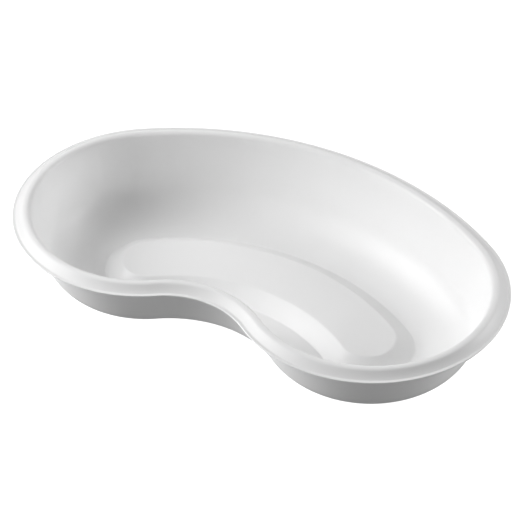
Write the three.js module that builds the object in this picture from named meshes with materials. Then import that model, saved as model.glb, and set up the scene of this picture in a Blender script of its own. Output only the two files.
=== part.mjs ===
// A kidney dish (emesis basin): one thin-walled, injection-moulded polypropylene shell.
//
// Millimetres, +Z up. The dish stands on z = 0, with its origin under the centre of its bounding box:
// +X runs along its length and -Y faces the hollow waist that is held against the body.
//
// Seen from above the dish is a strip of even width with round ends, bent along a spine, which is an arc.
// The shell is one closed wall section swept round it. The section is drawn in two coordinates: "inset"
// is the distance inwards from the outer edge of the rim, and z is the height. Every ring of the shell
// keeps an even distance from the spine, so all rings are parallel.

import * as THREE from "three";

// Plan, at the outer edge of the rim
const LENGTH = 250;
const HALF_WIDTH = 65;
const SPINE_RADIUS = 105;

// Heights above the surface that the dish stands on
const CREST_TOP_Z = 42.8;
const LIP_TOP_Z = 39.7;
const PLATEAU_Z = 8;

// Wall, up to a rim made of the same sheet: it bends over a round crest, and flares down and out in a
// hollow skirt to a thin flat lip. Draft leans from the vertical, and the skirt's slope from the level.
const WALL = 2;
const WALL_DRAFT = THREE.MathUtils.degToRad(15.3);
const CREST_RADIUS = 2.75;
const CREST_INSET = 6.6;
const SKIRT_RADIUS = 16.5;
const SKIRT_SLOPE = THREE.MathUtils.degToRad(42.7);
const LIP_THICKNESS = 0.9;
const LIP_EDGE_RADIUS = 0.35;

// The wall bends into the floor in two arcs of its outer face, a tight one above a wide one. They meet
// where the wall leans this far from the vertical.
const UPPER_BEND_RADIUS = 17;
const LOWER_BEND_RADIUS = 32.5;
const BEND_LEAN = THREE.MathUtils.degToRad(44);

// Floor: a groove all round, and a plateau raised out of it with a recess of the same shape below
const GROOVE_EDGE_INSET = 42.5;
const PLATEAU_EDGE_INSET = 51.5;
const GROOVE_FILLET = 1.5;
const PLATEAU_FILLET = 2.5;

// Segments round the plan: along each side of the spine, and in the stretches of a round end, which is
// cut at its tip and at its front so that the rim reaches its full length and width there
const BACK_SEGMENTS = 14;
const WAIST_SEGMENTS = 12;
const END_BACK_SEGMENTS = 8;
const END_QUARTER_SEGMENTS = 12;
const END_WAIST_SEGMENTS = 5;

// Segments in the arcs of the section
const UPPER_BEND_SEGMENTS = 4;
const LOWER_BEND_SEGMENTS = 5;
const CREST_SEGMENTS = 4;
const SMALL_ARC_SEGMENTS = 2;

// The spine turns this far either way from its middle. Its centre puts the plan's box round the origin.
const SPINE_TURN = Math.asin((LENGTH / 2 - HALF_WIDTH) / SPINE_RADIUS);
const SPINE_CENTRE = new THREE.Vector2(0, (-SPINE_RADIUS * (1 + Math.cos(SPINE_TURN))) / 2);

const QUARTER = Math.PI / 2;
const HALF = Math.PI;
const FULL = 2 * Math.PI;

// A point of the spine, at an angle anticlockwise from +X about the spine's centre.
function spinePoint(angle) {
  const spoke = new THREE.Vector2(Math.cos(angle), Math.sin(angle));
  return SPINE_CENTRE.clone().addScaledVector(spoke, SPINE_RADIUS);
}

// Stations round the plan, anticlockwise from the back corner of the +X end. Each has its point of the
// spine and the direction that leads straight out from there.
function planStations() {
  const stations = [];
  const turn = (from, to, segments, spineAngle) => {
    for (let step = 0; step < segments; step += 1) {
      const angle = THREE.MathUtils.lerp(from, to, step / segments);
      const outwards = new THREE.Vector2(Math.cos(angle), Math.sin(angle));
      stations.push({ centre: spinePoint(spineAngle(angle)), outwards });
    }
  };
  const rightEnd = () => QUARTER - SPINE_TURN;
  const leftEnd = () => QUARTER + SPINE_TURN;
  const back = (angle) => angle;
  const waist = (angle) => angle - HALF;

  turn(QUARTER - SPINE_TURN, QUARTER + SPINE_TURN, BACK_SEGMENTS, back);
  turn(QUARTER + SPINE_TURN, HALF, END_BACK_SEGMENTS, leftEnd);
  turn(HALF, HALF + QUARTER, END_QUARTER_SEGMENTS, leftEnd);
  turn(HALF + QUARTER, HALF + QUARTER + SPINE_TURN, END_WAIST_SEGMENTS, leftEnd);
  turn(HALF + QUARTER + SPINE_TURN, HALF + QUARTER - SPINE_TURN, WAIST_SEGMENTS, waist);
  turn(HALF + QUARTER - SPINE_TURN, HALF + QUARTER, END_WAIST_SEGMENTS, rightEnd);
  turn(HALF + QUARTER, FULL, END_QUARTER_SEGMENTS, rightEnd);
  turn(FULL, FULL + QUARTER - SPINE_TURN, END_BACK_SEGMENTS, rightEnd);
  return stations;
}

// Points of an arc of the section. An angle is that of the spoke from +inset towards +z.
function sectionArc(centre, radius, from, to, segments) {
  const points = [];
  for (let step = 0; step <= segments; step += 1) {
    const angle = THREE.MathUtils.lerp(from, to, step / segments);
    const spoke = new THREE.Vector2(Math.cos(angle), Math.sin(angle));
    points.push(centre.clone().addScaledVector(spoke, radius));
  }
  return points;
}

// Where a sloping line through a point reaches a height.
function insetAtHeight(point, slope, z) {
  return point.x + (z - point.y) / Math.tan(slope);
}

// The step between two levels, as a slope with a fillet against each level. The fillets turn opposite ways.
function levelStep(foot, slope, topZ, footFillet, topFillet) {
  const footCentre = new THREE.Vector2(foot.x - footFillet * Math.tan(slope / 2), foot.y + footFillet);
  const topInset = insetAtHeight(foot, slope, topZ);
  const topCentre = new THREE.Vector2(topInset + topFillet * Math.tan(slope / 2), topZ - topFillet);
  return [
    ...sectionArc(footCentre, footFillet, -QUARTER, slope - QUARTER, SMALL_ARC_SEGMENTS),
    ...sectionArc(topCentre, topFillet, slope + QUARTER, QUARTER, SMALL_ARC_SEGMENTS),
  ];
}

// The wall section, from the edge of the plateau up the inside, over the rim, down the outside and in
// to the edge of the recess under the plateau.
function wallSection() {
  const crest = new THREE.Vector2(CREST_INSET, CREST_TOP_Z - CREST_RADIUS);

  // The straight inner face of the wall touches the crest from outside and the upper bend from inside,
  // and that fixes how far in the bends lie.
  const bendStep = LOWER_BEND_RADIUS - UPPER_BEND_RADIUS;
  const acrossWall = CREST_RADIUS + UPPER_BEND_RADIUS - WALL + bendStep * Math.cos(BEND_LEAN - WALL_DRAFT);
  const crestRise = (crest.y - LOWER_BEND_RADIUS) * Math.sin(WALL_DRAFT);
  const lowerBend = new THREE.Vector2(
    crest.x + (acrossWall + crestRise) / Math.cos(WALL_DRAFT),
    LOWER_BEND_RADIUS,
  );
  const upperBend = lowerBend.clone().sub(
    new THREE.Vector2(Math.cos(BEND_LEAN), Math.sin(BEND_LEAN)).multiplyScalar(bendStep),
  );
  const wallFace = WALL_DRAFT - HALF;
  const bendMeeting = BEND_LEAN - HALF;

  // The hollow skirt is tangent to the crest, about a centre above and outside it. Its two faces end at
  // the top and the bottom of the lip.
  const skirt = crest.clone().add(
    new THREE.Vector2(-Math.sin(SKIRT_SLOPE), Math.cos(SKIRT_SLOPE))
      .multiplyScalar(CREST_RADIUS + SKIRT_RADIUS),
  );
  const underSkirtRadius = SKIRT_RADIUS + WALL;
  const lipBottomZ = LIP_TOP_Z - LIP_THICKNESS;
  const skirtFoot = Math.asin((LIP_TOP_Z - skirt.y) / SKIRT_RADIUS);
  const underSkirtFoot = Math.asin((lipBottomZ - skirt.y) / underSkirtRadius);
  const lipTop = new THREE.Vector2(LIP_EDGE_RADIUS, LIP_TOP_Z - LIP_EDGE_RADIUS);
  const lipBottom = new THREE.Vector2(LIP_EDGE_RADIUS, lipBottomZ + LIP_EDGE_RADIUS);

  const floorSlope = Math.atan2(PLATEAU_Z - WALL, PLATEAU_EDGE_INSET - GROOVE_EDGE_INSET);
  const floorFoot = new THREE.Vector2(GROOVE_EDGE_INSET, WALL);
  const recessFoot = new THREE.Vector2(GROOVE_EDGE_INSET + WALL * Math.tan(floorSlope / 2), 0);

  return [
    ...levelStep(floorFoot, floorSlope, PLATEAU_Z, GROOVE_FILLET, PLATEAU_FILLET).reverse(),
    ...sectionArc(lowerBend, LOWER_BEND_RADIUS - WALL, -QUARTER, bendMeeting, LOWER_BEND_SEGMENTS),
    ...sectionArc(upperBend, UPPER_BEND_RADIUS - WALL, bendMeeting, wallFace, UPPER_BEND_SEGMENTS).slice(1),
    ...sectionArc(crest, CREST_RADIUS, WALL_DRAFT, QUARTER, CREST_SEGMENTS),
    ...sectionArc(crest, CREST_RADIUS, QUARTER, QUARTER + SKIRT_SLOPE, SMALL_ARC_SEGMENTS),
    ...sectionArc(skirt, SKIRT_RADIUS, SKIRT_SLOPE - QUARTER, skirtFoot, SMALL_ARC_SEGMENTS),
    ...sectionArc(lipTop, LIP_EDGE_RADIUS, QUARTER, HALF, SMALL_ARC_SEGMENTS),
    ...sectionArc(lipBottom, LIP_EDGE_RADIUS, HALF, HALF + QUARTER, SMALL_ARC_SEGMENTS),
    ...sectionArc(skirt, underSkirtRadius, underSkirtFoot, SKIRT_SLOPE - QUARTER, SMALL_ARC_SEGMENTS),
    ...sectionArc(crest, CREST_RADIUS - WALL, QUARTER + SKIRT_SLOPE, WALL_DRAFT, CREST_SEGMENTS),
    ...sectionArc(upperBend, UPPER_BEND_RADIUS, wallFace, bendMeeting, UPPER_BEND_SEGMENTS),
    ...sectionArc(lowerBend, LOWER_BEND_RADIUS, bendMeeting, -QUARTER, LOWER_BEND_SEGMENTS).slice(1),
    ...levelStep(recessFoot, floorSlope, PLATEAU_Z - WALL, GROOVE_FILLET, PLATEAU_FILLET),
  ];
}

// A flat region inside the first or last ring of the shell.
function capTriangles(positions, ring, size, facesUp) {
  const contour = [];
  for (let index = 0; index < size; index += 1) {
    const start = 3 * (ring * size + index);
    contour.push(new THREE.Vector2(positions[start], positions[start + 1]));
  }
  return THREE.ShapeUtils.triangulateShape(contour, []).flatMap(([a, b, c]) => {
    const corners = facesUp ? [a, b, c] : [a, c, b];
    return corners.map((corner) => ring * size + corner);
  });
}

// The section swept round the plan, with the plateau and the recess closed by flat caps.
function shellGeometry() {
  const stations = planStations();
  const section = wallSection();
  const size = stations.length;
  const positions = [];
  for (const { x: inset, y: z } of section) {
    for (const { centre, outwards } of stations) {
      const place = centre.clone().addScaledVector(outwards, HALF_WIDTH - inset);
      positions.push(place.x, place.y, z);
    }
  }

  const indices = [];
  for (let ring = 0; ring + 1 < section.length; ring += 1) {
    for (let index = 0; index < size; index += 1) {
      const next = (index + 1) % size;
      const a = ring * size + index;
      const b = ring * size + next;
      const c = a + size;
      const d = b + size;
      indices.push(a, c, b, b, c, d);
    }
  }
  indices.push(...capTriangles(positions, 0, size, true));
  indices.push(...capTriangles(positions, section.length - 1, size, false));

  const geometry = new THREE.BufferGeometry();
  geometry.setAttribute("position", new THREE.Float32BufferAttribute(positions, 3));
  geometry.setIndex(indices);
  geometry.computeVertexNormals();
  return geometry;
}

// Satin white polypropylene
function polypropylene() {
  return new THREE.MeshStandardMaterial({ color: 0xf8f8f8, roughness: 0.42, metalness: 0 });
}

const dish = new THREE.Mesh(shellGeometry(), polypropylene());
dish.name = "dish";

const kidneyDish = new THREE.Group();
kidneyDish.add(dish);

export default kidneyDish;
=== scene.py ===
"""A white polypropylene kidney dish in a plain, softly lit studio.

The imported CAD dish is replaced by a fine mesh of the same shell, made the same way: one closed wall
section swept round curves at an even distance from the spine. The mesh adds what is too fine for the CAD
solid: smooth arcs, the fillet between skirt and lip, and the mark that the moulding gate leaves in the
middle of the recess.

Lengths are in millimetres up to the mesh, which is in metres and in the frame of the CAD part: +X along the
dish, -Y out of its hollow waist, +Z up. Angles are in radians unless a comment says otherwise. Insets are
measured inwards from the outer edge of the rim.
"""

import math

import bmesh
import bpy
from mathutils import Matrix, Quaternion, Vector

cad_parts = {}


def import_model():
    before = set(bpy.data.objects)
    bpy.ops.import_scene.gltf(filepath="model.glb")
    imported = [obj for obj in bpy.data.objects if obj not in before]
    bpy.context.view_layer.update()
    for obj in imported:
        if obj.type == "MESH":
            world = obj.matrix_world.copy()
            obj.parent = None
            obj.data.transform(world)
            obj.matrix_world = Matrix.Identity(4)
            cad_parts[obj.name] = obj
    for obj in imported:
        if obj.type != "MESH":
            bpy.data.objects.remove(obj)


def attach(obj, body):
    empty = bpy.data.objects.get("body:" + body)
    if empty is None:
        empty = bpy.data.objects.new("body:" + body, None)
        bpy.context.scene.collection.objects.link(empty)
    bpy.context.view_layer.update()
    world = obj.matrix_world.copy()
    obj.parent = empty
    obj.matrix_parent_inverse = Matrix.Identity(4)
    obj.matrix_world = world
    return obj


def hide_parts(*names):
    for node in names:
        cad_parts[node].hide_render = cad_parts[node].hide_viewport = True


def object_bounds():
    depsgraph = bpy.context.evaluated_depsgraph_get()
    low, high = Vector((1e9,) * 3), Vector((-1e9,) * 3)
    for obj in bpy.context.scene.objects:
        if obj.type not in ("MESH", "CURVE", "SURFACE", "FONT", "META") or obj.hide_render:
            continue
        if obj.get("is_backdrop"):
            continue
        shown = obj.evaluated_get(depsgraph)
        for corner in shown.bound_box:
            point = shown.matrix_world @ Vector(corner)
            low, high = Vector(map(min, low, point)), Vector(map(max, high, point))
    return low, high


MM = 0.001
QUARTER_TURN = math.pi / 2
HALF_TURN = math.pi

# Plan, at the outer edge of the rim: a strip of even width with round ends, bent along the arc of its spine
LENGTH = 250.0
HALF_WIDTH = 65.0
SPINE_RADIUS = 105.0
SPINE_TURN = math.asin((LENGTH / 2 - HALF_WIDTH) / SPINE_RADIUS)
SPINE_CENTRE = Vector((0.0, -SPINE_RADIUS * (1 + math.cos(SPINE_TURN)) / 2))

# Heights above the floor
CREST_TOP_Z = 42.8
LIP_TOP_Z = 39.7
PLATEAU_Z = 8.0

# Wall, up to a rim made of the same sheet: it bends over a round crest, and flares down and out in a hollow
# skirt to a thin flat lip. The draft is measured from the vertical. The slope of the skirt is measured from
# the level, where the skirt leaves the crest. The inset of the crest is that of its centre.
WALL = 2.0
WALL_DRAFT = math.radians(15.3)
CREST_RADIUS = 2.75
CREST_INSET = 6.6
SKIRT_RADIUS = 16.5
SKIRT_SLOPE = math.radians(42.7)
CREASE_FILLET = 0.8
LIP_THICKNESS = 0.9
LIP_EDGE_RADIUS = 0.35

# Bends from the wall into the floor, at the outer face: a tight one above a wide one, which meet where the
# wall leans this far from the vertical
UPPER_BEND_RADIUS = 17.0
LOWER_BEND_RADIUS = 32.5
BEND_LEAN = math.radians(44)

# Floor of the dish: a groove all round a plateau, with a recess below the plateau
GROOVE_EDGE_INSET = 42.5
PLATEAU_EDGE_INSET = 51.5
GROOVE_FILLET = 1.5
PLATEAU_FILLET = 2.5

# Mark of the moulding gate, in the middle of the recess: a shallow dimple with a snapped-off stub in it. The
# wall of the dimple runs in by so much from its mouth to its bottom, and the stub tapers by half of that.
GATE_SURROUND_RADIUS = 3.0
GATE_DIMPLE_RADIUS = 2.5
GATE_DIMPLE_DEPTH = 0.5
GATE_WALL_RUN = 0.3
GATE_STUB_RADIUS = 0.8
GATE_STUB_HEIGHT = 0.35
GATE_SIDES = 48

# Half the width of the strip that the sweep leaves open along the spine, for the gate mark
GATE_STRIP_HALF_WIDTH = 5.0

# Longest steps of the fine mesh: along the plan at its outer edge, along an arc of the section as a length
# and as a turn, and along a straight stretch of the section
PLAN_STEP = 2.0
ARC_STEP = 1.0
ARC_STEP_TURN = math.radians(9)
STRAIGHT_STEP = 2.0

# Points of the section or the mesh that are closer than this are one point
SAME_PLACE = 0.01


# ---------------------------------------------------------------- plan and section


def spoke(angle):
    """Unit vector that points away from the centre of an arc."""
    return Vector((math.cos(angle), math.sin(angle)))


def spine_point(angle):
    return SPINE_CENTRE + spoke(angle) * SPINE_RADIUS


def plan_stations():
    """(spine point, direction outwards) pairs round the plan, anticlockwise from the back of the +X end.

    The back and the waist have the same steps along the spine, so that the two sides meet on it.
    """
    side_steps = math.ceil(2 * SPINE_TURN * (SPINE_RADIUS + HALF_WIDTH) / PLAN_STEP)
    end_steps = math.ceil(HALF_TURN * HALF_WIDTH / PLAN_STEP)
    stations = []
    for step in range(side_steps):
        angle = QUARTER_TURN + SPINE_TURN * (2 * step / side_steps - 1)
        stations.append((spine_point(angle), spoke(angle)))
    for step in range(end_steps):
        angle = QUARTER_TURN + SPINE_TURN + HALF_TURN * step / end_steps
        stations.append((spine_point(QUARTER_TURN + SPINE_TURN), spoke(angle)))
    for step in range(side_steps):
        angle = QUARTER_TURN + SPINE_TURN * (1 - 2 * step / side_steps)
        stations.append((spine_point(angle), -spoke(angle)))
    for step in range(end_steps):
        angle = HALF_TURN + QUARTER_TURN - SPINE_TURN + HALF_TURN * step / end_steps
        stations.append((spine_point(QUARTER_TURN - SPINE_TURN), spoke(angle)))
    return stations


def section_arc(centre, radius, start, end):
    """Points of an arc of the section. An angle is that of the spoke from +inset towards +z."""
    turn = abs(end - start)
    steps = max(2, math.ceil(turn / ARC_STEP_TURN), math.ceil(turn * radius / ARC_STEP))
    return [centre + spoke(start + (end - start) * step / steps) * radius for step in range(steps + 1)]


def level_step(foot, slope, top_z):
    """A slope between two levels, with a fillet against each. The fillets turn opposite ways."""
    foot_centre = Vector((foot.x - GROOVE_FILLET * math.tan(slope / 2), foot.y + GROOVE_FILLET))
    top_inset = foot.x + (top_z - foot.y) / math.tan(slope)
    top_centre = Vector((top_inset + PLATEAU_FILLET * math.tan(slope / 2), top_z - PLATEAU_FILLET))
    return [
        *section_arc(foot_centre, GROOVE_FILLET, -QUARTER_TURN, slope - QUARTER_TURN),
        *section_arc(top_centre, PLATEAU_FILLET, slope + QUARTER_TURN, QUARTER_TURN),
    ]


def rim_section(crest):
    """The rim from the inner face of the wall over the crest and the lip to the outer face of the wall."""
    skirt = crest + spoke(SKIRT_SLOPE + QUARTER_TURN) * (CREST_RADIUS + SKIRT_RADIUS)
    skirt_top_angle = SKIRT_SLOPE - QUARTER_TURN

    # The fillet of the crease lies on the lip and inside the hollow of the skirt.
    crease_rise = LIP_TOP_Z + CREASE_FILLET - skirt.y
    crease_reach = math.sqrt((SKIRT_RADIUS - CREASE_FILLET) ** 2 - crease_rise**2)
    crease = skirt + Vector((crease_reach, crease_rise))
    crease_angle = math.atan2(crease_rise, crease_reach)

    lip_bottom_z = LIP_TOP_Z - LIP_THICKNESS
    lip_top = Vector((LIP_EDGE_RADIUS, LIP_TOP_Z - LIP_EDGE_RADIUS))
    lip_bottom = Vector((LIP_EDGE_RADIUS, lip_bottom_z + LIP_EDGE_RADIUS))
    under_radius = SKIRT_RADIUS + WALL
    under_foot_angle = math.asin((lip_bottom_z - skirt.y) / under_radius)
    return [
        *section_arc(crest, CREST_RADIUS, WALL_DRAFT, QUARTER_TURN),
        *section_arc(crest, CREST_RADIUS, QUARTER_TURN, QUARTER_TURN + SKIRT_SLOPE),
        *section_arc(skirt, SKIRT_RADIUS, skirt_top_angle, crease_angle),
        *section_arc(crease, CREASE_FILLET, crease_angle, -QUARTER_TURN),
        *section_arc(lip_top, LIP_EDGE_RADIUS, QUARTER_TURN, HALF_TURN),
        *section_arc(lip_bottom, LIP_EDGE_RADIUS, HALF_TURN, HALF_TURN + QUARTER_TURN),
        *section_arc(skirt, under_radius, under_foot_angle, skirt_top_angle),
        *section_arc(crest, CREST_RADIUS - WALL, QUARTER_TURN + SKIRT_SLOPE, WALL_DRAFT),
    ]


def bend_centres(crest):
    """Centres of the upper and the lower bend.

    The straight inner face of the wall touches the crest on one side and the upper bend on the other.
    """
    step = LOWER_BEND_RADIUS - UPPER_BEND_RADIUS
    across_wall = CREST_RADIUS + UPPER_BEND_RADIUS - WALL + step * math.cos(BEND_LEAN - WALL_DRAFT)
    crest_rise = (crest.y - LOWER_BEND_RADIUS) * math.sin(WALL_DRAFT)
    lower = Vector((crest.x + (across_wall + crest_rise) / math.cos(WALL_DRAFT), LOWER_BEND_RADIUS))
    return lower + spoke(BEND_LEAN - HALF_TURN) * step, lower


def wall_section():
    """The closed wall section as vectors (inset, z), from the plateau over the rim to the recess."""
    crest = Vector((CREST_INSET, CREST_TOP_Z - CREST_RADIUS))
    upper, lower = bend_centres(crest)
    meeting = BEND_LEAN - HALF_TURN
    face = WALL_DRAFT - HALF_TURN
    slope = math.atan2(PLATEAU_Z - WALL, PLATEAU_EDGE_INSET - GROOVE_EDGE_INSET)
    floor_foot = Vector((GROOVE_EDGE_INSET, WALL))
    recess_foot = Vector((GROOVE_EDGE_INSET + WALL * math.tan(slope / 2), 0.0))
    corners = [
        Vector((HALF_WIDTH, PLATEAU_Z)),
        *reversed(level_step(floor_foot, slope, PLATEAU_Z)),
        *section_arc(lower, LOWER_BEND_RADIUS - WALL, -QUARTER_TURN, meeting),
        *section_arc(upper, UPPER_BEND_RADIUS - WALL, meeting, face),
        *rim_section(crest),
        *section_arc(upper, UPPER_BEND_RADIUS, face, meeting),
        *section_arc(lower, LOWER_BEND_RADIUS, meeting, -QUARTER_TURN),
        *level_step(recess_foot, slope, PLATEAU_Z - WALL),
        Vector((HALF_WIDTH - GATE_STRIP_HALF_WIDTH, PLATEAU_Z - WALL)),
    ]
    return subdivided(corners)


def subdivided(corners):
    """The section with its straight stretches cut into short steps, and with no point twice."""
    points = [corners[0]]
    for corner in corners[1:]:
        start = points[-1]
        length = (corner - start).length
        if length < SAME_PLACE:
            continue
        steps = math.ceil(length / STRAIGHT_STEP)
        points.extend(start.lerp(corner, step / steps) for step in range(1, steps + 1))
    return points


# ---------------------------------------------------------------- dish mesh


def add_ring(bm, spots):
    """Vertices at (x, y, z) places in millimetres."""
    return [bm.verts.new(Vector(spot) * MM) for spot in spots]


def bridge(bm, near, far):
    """Four-sided faces between two rings of as many vertices."""
    for index, vert in enumerate(near):
        after = (index + 1) % len(near)
        bm.faces.new((vert, far[index], far[after], near[after]))


def ring_edges(bm, ring):
    """Edges between the neighbours of a ring."""
    return [bm.edges.get((vert, ring[index - 1])) for index, vert in enumerate(ring)]


def gate_profile():
    """(radius, z) of the gate mark, from the flat round the dimple to the top of the stub."""
    recess_z = PLATEAU_Z - WALL
    dimple_z = recess_z + GATE_DIMPLE_DEPTH
    return [
        (GATE_SURROUND_RADIUS, recess_z),
        (GATE_DIMPLE_RADIUS, recess_z),
        (GATE_DIMPLE_RADIUS - GATE_WALL_RUN, dimple_z),
        (GATE_STUB_RADIUS + GATE_WALL_RUN, dimple_z),
        (GATE_STUB_RADIUS, dimple_z),
        (GATE_STUB_RADIUS - GATE_WALL_RUN / 2, dimple_z - GATE_STUB_HEIGHT),
    ]


def add_gate_mark(bm, strip):
    """Close the strip left open along the spine under the plateau, with the gate mark in its middle."""
    middle = spine_point(QUARTER_TURN)
    rings = []
    for radius, z in gate_profile():
        places = [middle + spoke(2 * HALF_TURN * side / GATE_SIDES) * radius for side in range(GATE_SIDES)]
        rings.append(add_ring(bm, [(place.x, place.y, z) for place in places]))
    for near, far in zip(rings, rings[1:]):
        bridge(bm, near, far)
    bm.faces.new(rings[-1])
    edges = ring_edges(bm, strip) + ring_edges(bm, rings[0])
    bmesh.ops.triangle_fill(bm, edges=edges, use_beauty=True)


def shell_mesh():
    """The section swept round the plan. It meets itself on the spine, across the plateau."""
    stations = plan_stations()
    bm = bmesh.new()
    rings = []
    for point in wall_section():
        places = [centre + outwards * (HALF_WIDTH - point.x) for centre, outwards in stations]
        rings.append(add_ring(bm, [(place.x, place.y, point.y) for place in places]))
    for near, far in zip(rings, rings[1:]):
        bridge(bm, near, far)
    add_gate_mark(bm, rings[-1])
    bmesh.ops.remove_doubles(bm, verts=rings[0], dist=SAME_PLACE * MM)
    bmesh.ops.recalc_face_normals(bm, faces=bm.faces)
    for face in bm.faces:
        face.smooth = True
    mesh = bpy.data.meshes.new("kidney_dish")
    bm.to_mesh(mesh)
    bm.free()
    return mesh


def build_dish():
    dish = bpy.data.objects.new("kidney_dish", shell_mesh())
    bpy.context.collection.objects.link(dish)
    dish.data.materials.append(polypropylene())
    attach(dish, "root")
    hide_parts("dish")


# ---------------------------------------------------------------- materials

# Scales of the noise textures, in features per metre
FLOW_SCALE = 22.0
WAVE_SCALE = 38.0
SHEEN_SCALE = 45.0
SCUFF_SCALE = 700.0
GRAIN_SCALE = 2600.0
PAPER_SCALE = 6.0

# The range that most of a noise texture's values lie in, and a narrow one that cuts it into patches
MOST_NOISE = (0.3, 0.7)
PATCHY_NOISE = (0.42, 0.58)

# Hairlines as (turn about +Z, scale across the line), each so many times longer than wide. They show where
# the noise is in this high range.
HAIRLINES = ((0.4, 1500.0), (1.9, 1900.0), (2.7, 1300.0))
HAIRLINE_STRETCH = 28.0
HAIRLINE_NOISE = (0.70, 0.76)

# White polypropylene. The colour drifts between two near whites, and is duller where the dish is scuffed.
POLYPROPYLENE_IOR = 1.49
WHITE_LOW = (0.932, 0.932, 0.932, 1.0)
WHITE_HIGH = (0.948, 0.948, 0.948, 1.0)
WHITE_SCUFFED = (0.86, 0.86, 0.855, 1.0)

# Roughness of the satin mould finish, and how far the grain, a hairline and a scuff change it
SATIN_ROUGHNESS = (0.39, 0.45)
GRAIN_ROUGHNESS = (-0.015, 0.015)
HAIRLINE_STRENGTH = 0.35
SCUFF_ROUGHNESS = 0.2

# Reliefs, in metres: slow waves of the wall, the grain, and the depth of a hairline
WAVE_RELIEF = 0.00006
GRAIN_RELIEF = 0.0000025
HAIRLINE_RELIEF = 0.000002

# Height of the band over the contact ring that is scuffed by what the dish stands on, in metres
SCUFF_HEIGHT = 0.0006

# Studio paper. It also glows by itself, so that it stays even under the soft light.
PAPER_ROUGHNESS = 0.9
PAPER_GLOW = 0.8
PAPER_LOW = (0.88, 0.88, 0.88, 1.0)
PAPER_HIGH = (0.92, 0.92, 0.92, 1.0)
WHITE = (1.0, 1.0, 1.0, 1.0)

# Sockets of the Mix node that carry colours
MIX_COLOUR_INPUTS = (6, 7)
MIX_COLOUR_OUTPUT = 2


def node_material(name):
    material = bpy.data.materials.new(name)
    material.use_nodes = True
    return material, material.node_tree.nodes, material.node_tree.links


def noise(nodes, links, coords, scale, detail=2.0):
    """Noise from 0 to 1."""
    texture = nodes.new("ShaderNodeTexNoise")
    texture.inputs["Scale"].default_value = scale
    texture.inputs["Detail"].default_value = detail
    links.new(coords, texture.inputs["Vector"])
    return texture.outputs["Fac"]


def remap(nodes, links, value, source, target):
    """The value carried from one range to another, and held at its ends."""
    node = nodes.new("ShaderNodeMapRange")
    node.inputs["From Min"].default_value, node.inputs["From Max"].default_value = source
    node.inputs["To Min"].default_value, node.inputs["To Max"].default_value = target
    links.new(value, node.inputs["Value"])
    return node.outputs["Result"]


def combine(nodes, links, operation, first, second):
    """Two values joined by one operation of the Math node."""
    node = nodes.new("ShaderNodeMath")
    node.operation = operation
    links.new(first, node.inputs[0])
    links.new(second, node.inputs[1])
    return node.outputs["Value"]


def blend_colours(nodes, links, factor, first, second):
    """A colour between two. Either may be a fixed colour or the output of a node."""
    node = nodes.new("ShaderNodeMix")
    node.data_type = "RGBA"
    links.new(factor, node.inputs["Factor"])
    for index, colour in zip(MIX_COLOUR_INPUTS, (first, second)):
        if isinstance(colour, tuple):
            node.inputs[index].default_value = colour
        else:
            links.new(colour, node.inputs[index])
    return node.outputs[MIX_COLOUR_OUTPUT]


def stretched(nodes, links, coords, turn, stretch):
    """Coordinates turned about +Z and squeezed along one axis, so that noise in them runs in streaks."""
    node = nodes.new("ShaderNodeMapping")
    node.inputs["Rotation"].default_value = (0.0, 0.0, turn)
    node.inputs["Scale"].default_value = (1.0, 1.0 / stretch, 1.0)
    links.new(coords, node.inputs["Vector"])
    return node.outputs["Vector"]


def hairlines(nodes, links, coords):
    """Sparse fine scratches in three directions, from 0 to 1, such as a brush and instruments leave."""
    total = None
    for turn, scale in HAIRLINES:
        along = stretched(nodes, links, coords, turn, HAIRLINE_STRETCH)
        streaks = noise(nodes, links, along, scale, detail=1.0)
        lines = remap(nodes, links, streaks, HAIRLINE_NOISE, (0.0, 1.0))
        total = lines if total is None else combine(nodes, links, "MAXIMUM", total, lines)
    return total


def bump(nodes, links, height, distance, normal=None):
    """The normal tilted by a relief of so many metres for a height of 1, on top of another normal."""
    node = nodes.new("ShaderNodeBump")
    node.inputs["Distance"].default_value = distance
    links.new(height, node.inputs["Height"])
    if normal is not None:
        links.new(normal, node.inputs["Normal"])
    return node.outputs["Normal"]


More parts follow.
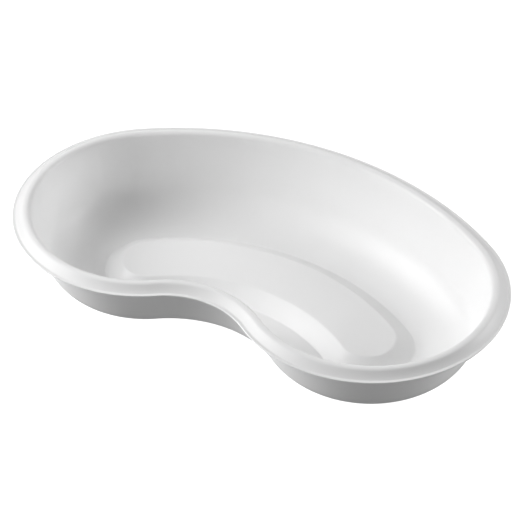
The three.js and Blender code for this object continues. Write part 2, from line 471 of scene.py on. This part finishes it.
def polypropylene():
    """White polypropylene from a satin mould: slow sheen changes, a fine grain, hairlines and scuffs."""
    material, nodes, links = node_material("polypropylene_white")
    shader = nodes["Principled BSDF"]
    shader.inputs["IOR"].default_value = POLYPROPYLENE_IOR
    coords = nodes.new("ShaderNodeTexCoord").outputs["Object"]

    split = nodes.new("ShaderNodeSeparateXYZ")
    links.new(coords, split.inputs["Vector"])
    contact = remap(nodes, links, split.outputs["Z"], (0.0, SCUFF_HEIGHT), (1.0, 0.0))
    patches = noise(nodes, links, coords, SCUFF_SCALE, detail=3.0)
    rubbed = remap(nodes, links, patches, PATCHY_NOISE, (0.0, 1.0))
    scuffs = combine(nodes, links, "MULTIPLY", contact, rubbed)
    scratches = hairlines(nodes, links, coords)

    flow = remap(nodes, links, noise(nodes, links, coords, FLOW_SCALE), MOST_NOISE, (0.0, 1.0))
    clean = blend_colours(nodes, links, flow, WHITE_LOW, WHITE_HIGH)
    worn = blend_colours(nodes, links, scuffs, clean, WHITE_SCUFFED)
    links.new(worn, shader.inputs["Base Color"])

    drift = noise(nodes, links, coords, SHEEN_SCALE, detail=3.0)
    sheen = remap(nodes, links, drift, MOST_NOISE, SATIN_ROUGHNESS)
    grain = noise(nodes, links, coords, GRAIN_SCALE)
    grainy = combine(nodes, links, "ADD", sheen, remap(nodes, links, grain, MOST_NOISE, GRAIN_ROUGHNESS))
    faint = remap(nodes, links, scratches, (0.0, 1.0), (0.0, HAIRLINE_STRENGTH))
    marks = combine(nodes, links, "MAXIMUM", scuffs, faint)
    dulled = remap(nodes, links, marks, (0.0, 1.0), (0.0, SCUFF_ROUGHNESS))
    links.new(combine(nodes, links, "ADD", grainy, dulled), shader.inputs["Roughness"])

    waves = bump(nodes, links, noise(nodes, links, coords, WAVE_SCALE, detail=1.0), WAVE_RELIEF)
    satin = bump(nodes, links, grain, GRAIN_RELIEF, waves)
    depth = remap(nodes, links, scratches, (0.0, 1.0), (1.0, 0.0))
    links.new(bump(nodes, links, depth, HAIRLINE_RELIEF, satin), shader.inputs["Normal"])
    return material


def floor_material():
    """Plain pale paper."""
    material, nodes, links = node_material("studio_white")
    shader = nodes["Principled BSDF"]
    shader.inputs["Roughness"].default_value = PAPER_ROUGHNESS
    shader.inputs["Emission Color"].default_value = WHITE
    shader.inputs["Emission Strength"].default_value = PAPER_GLOW
    coords = nodes.new("ShaderNodeTexCoord").outputs["Object"]
    mottle = remap(nodes, links, noise(nodes, links, coords, PAPER_SCALE), MOST_NOISE, (0.0, 1.0))
    links.new(blend_colours(nodes, links, mottle, PAPER_LOW, PAPER_HIGH), shader.inputs["Base Color"])
    material.cycles.emission_sampling = "NONE"
    return material


# ---------------------------------------------------------------- studio

# Camera: angles in degrees, and lengths in millimetres
CAMERA_AZIMUTH = 29.4
CAMERA_ELEVATION = 40.19
CAMERA_ROLL = -0.46
CAMERA_DISTANCE = 1003.5
CAMERA_TARGET = Vector((-12.42, 21.39, 0.0))
CAMERA_SENSOR = 36.0
CAMERA_LENS = 137.27

# How far the floor reaches from the origin along each axis, in metres. It ends before the light on it fades,
# and the white surround takes over.
FLOOR_REACH = 1.0

# Distance of the soft boxes from the origin, in metres
BOX_DISTANCE = 1.2

# Soft boxes as (name, azimuth, elevation, width, power): degrees, metres and watts
SOFT_BOXES = [
    ("left_high", 290, 40, 0.7, 11.0),
    ("left_low", 308, 20, 0.5, 2.4),
    ("right_low", 127, 20, 0.5, 6.2),
    ("right_high", 155, 45, 0.6, 1.7),
    ("back", 215, 48, 0.7, 1.1),
    ("back_level", 195, 8, 0.5, 0.5),
    ("camera_side", 42, 22, 0.5, 1.8),
    ("front_level", 345, 4, 0.5, 0.45),
    ("bounce_left", 280, -26, 0.6, 8.8),
    ("bounce_right", 120, -26, 0.6, 4.6),
    ("bounce_front", 0, -26, 0.6, 2.0),
]


def direction(azimuth, elevation):
    """Away from the dish. Azimuth 0 is straight in front, at -Y, and 90 is at +X; both in degrees."""
    a = math.radians(azimuth)
    e = math.radians(elevation)
    return Vector((math.sin(a) * math.cos(e), -math.cos(a) * math.cos(e), math.sin(e)))


def build_camera():
    data = bpy.data.cameras.new("camera")
    data.sensor_width = CAMERA_SENSOR
    data.lens = CAMERA_LENS
    camera = bpy.data.objects.new("camera", data)
    bpy.context.collection.objects.link(camera)
    away = direction(CAMERA_AZIMUTH, CAMERA_ELEVATION)
    camera.location = (CAMERA_TARGET + away * CAMERA_DISTANCE) * MM
    camera.rotation_mode = "QUATERNION"
    level_view = away.to_track_quat("Z", "Y")
    camera.rotation_quaternion = level_view @ Quaternion((0, 0, 1), math.radians(CAMERA_ROLL))
    bpy.context.scene.camera = camera


def build_floor():
    bm = bmesh.new()
    corners = [(-FLOOR_REACH, -FLOOR_REACH), (FLOOR_REACH, -FLOOR_REACH)]
    corners += [(FLOOR_REACH, FLOOR_REACH), (-FLOOR_REACH, FLOOR_REACH)]
    bm.faces.new([bm.verts.new((x, y, 0.0)) for x, y in corners])
    mesh = bpy.data.meshes.new("floor")
    bm.to_mesh(mesh)
    bm.free()
    floor = bpy.data.objects.new("floor", mesh)
    floor.data.materials.append(floor_material())
    bpy.context.collection.objects.link(floor)
    floor.visible_diffuse = False
    floor.visible_glossy = False
    floor.visible_shadow = False
    floor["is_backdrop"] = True


def build_soft_box(name, azimuth, elevation, width, power):
    """A square light that faces the dish."""
    data = bpy.data.lights.new(name, "AREA")
    data.size = width
    data.energy = power
    light = bpy.data.objects.new(name, data)
    away = direction(azimuth, elevation)
    light.location = away * BOX_DISTANCE
    light.rotation_mode = "QUATERNION"
    light.rotation_quaternion = away.to_track_quat("Z", "Y")
    bpy.context.collection.objects.link(light)


def build_world():
    """A white surround that is only seen. The soft boxes give all the light."""
    world = bpy.data.worlds.new("studio")
    world.use_nodes = True
    world.node_tree.nodes["Background"].inputs["Color"].default_value = WHITE
    world.cycles_visibility.diffuse = False
    world.cycles_visibility.glossy = False
    bpy.context.scene.world = world


def main():
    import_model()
    cad_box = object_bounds()
    build_dish()
    build_floor()
    build_camera()
    build_world()
    for box in SOFT_BOXES:
        build_soft_box(*box)
    bpy.context.scene.view_settings.view_transform = "Standard"
    boxes = {"cad": cad_box, "visual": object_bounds()}
    for name, corners in boxes.items():
        boxes[name] = [[float(value) for value in corner] for corner in corners]


main()
